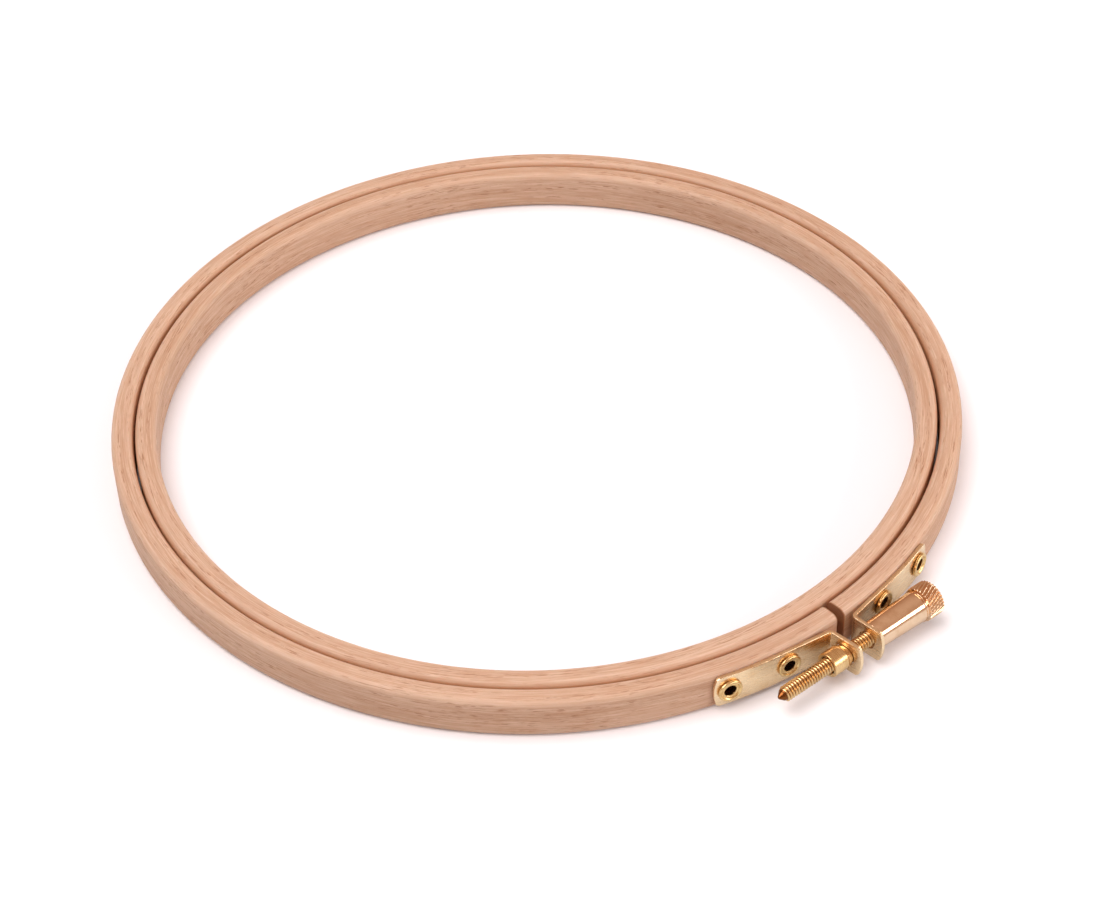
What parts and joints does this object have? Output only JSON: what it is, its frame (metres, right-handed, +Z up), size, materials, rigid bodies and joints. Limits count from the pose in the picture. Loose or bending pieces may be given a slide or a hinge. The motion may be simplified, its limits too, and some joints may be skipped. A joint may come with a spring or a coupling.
{
  "type": "embroidery hoop",
  "caption": "Round wooden embroidery hoop: a closed inner hoop inside a split outer hoop whose ends a brass thumbscrew draws together.",
  "frame": {"origin": "under the middle of the hoop's overall box, on the surface it lies on; the hoops' own centre is 4.1 mm towards +Y", "axes": "+Z up, square to the flat hoop; the split and its thumbscrew at -Y; the screw runs along X with its knurled head at +X"},
  "size_m": [0.159, 0.1672, 0.008],
  "materials": {
    "beech": "bare sanded beech with short dark rays and flecks along the bend",
    "strip_brass": "pale rolled sheet brass, satin",
    "eyelet_brass": "pressed brass, bright",
    "turned_brass": "turned brass with tool marks",
    "polished_brass": "polished, of a rosier tone"
  },
  "bodies": {
    "right_side": {"outer_hoop_right": "beech", "right_bracket": "strip_brass", "right_eyelet_near": "eyelet_brass", "right_eyelet_far": "eyelet_brass"},
    "left_side": {"outer_hoop_left": "beech", "left_bracket": "strip_brass", "left_eyelet_near": "eyelet_brass", "left_eyelet_far": "eyelet_brass", "barrel_nut": "turned_brass"},
    "inner": {"inner_hoop": "beech"},
    "screw": {"screw_stud": "turned_brass", "screw_head": "polished_brass"}
  },
  "joints": [
    {"name": "screw_spin", "type": "hinge", "parent": "right_side", "child": "screw", "pos_m": [0, -0.07999, 0.00425], "axis": [0.9998, -0.0209, 0], "range_deg": [-360, 1800]},
    {"name": "outer_flex", "type": "hinge", "parent": "right_side", "child": "left_side", "pos_m": [0, 0.0816, 0.004], "axis": [0, 0, -1], "range_deg": [-0.21, 1.06]},
    {"name": "inner_lift", "type": "slide", "parent": "right_side", "child": "inner", "axis": [0, 0, 1], "range_m": [0, 0.03]}
  ],
  "couplings": [
    {"joint": "screw_spin", "follows": "outer_flex", "ratio": 1692.3}
  ]
}
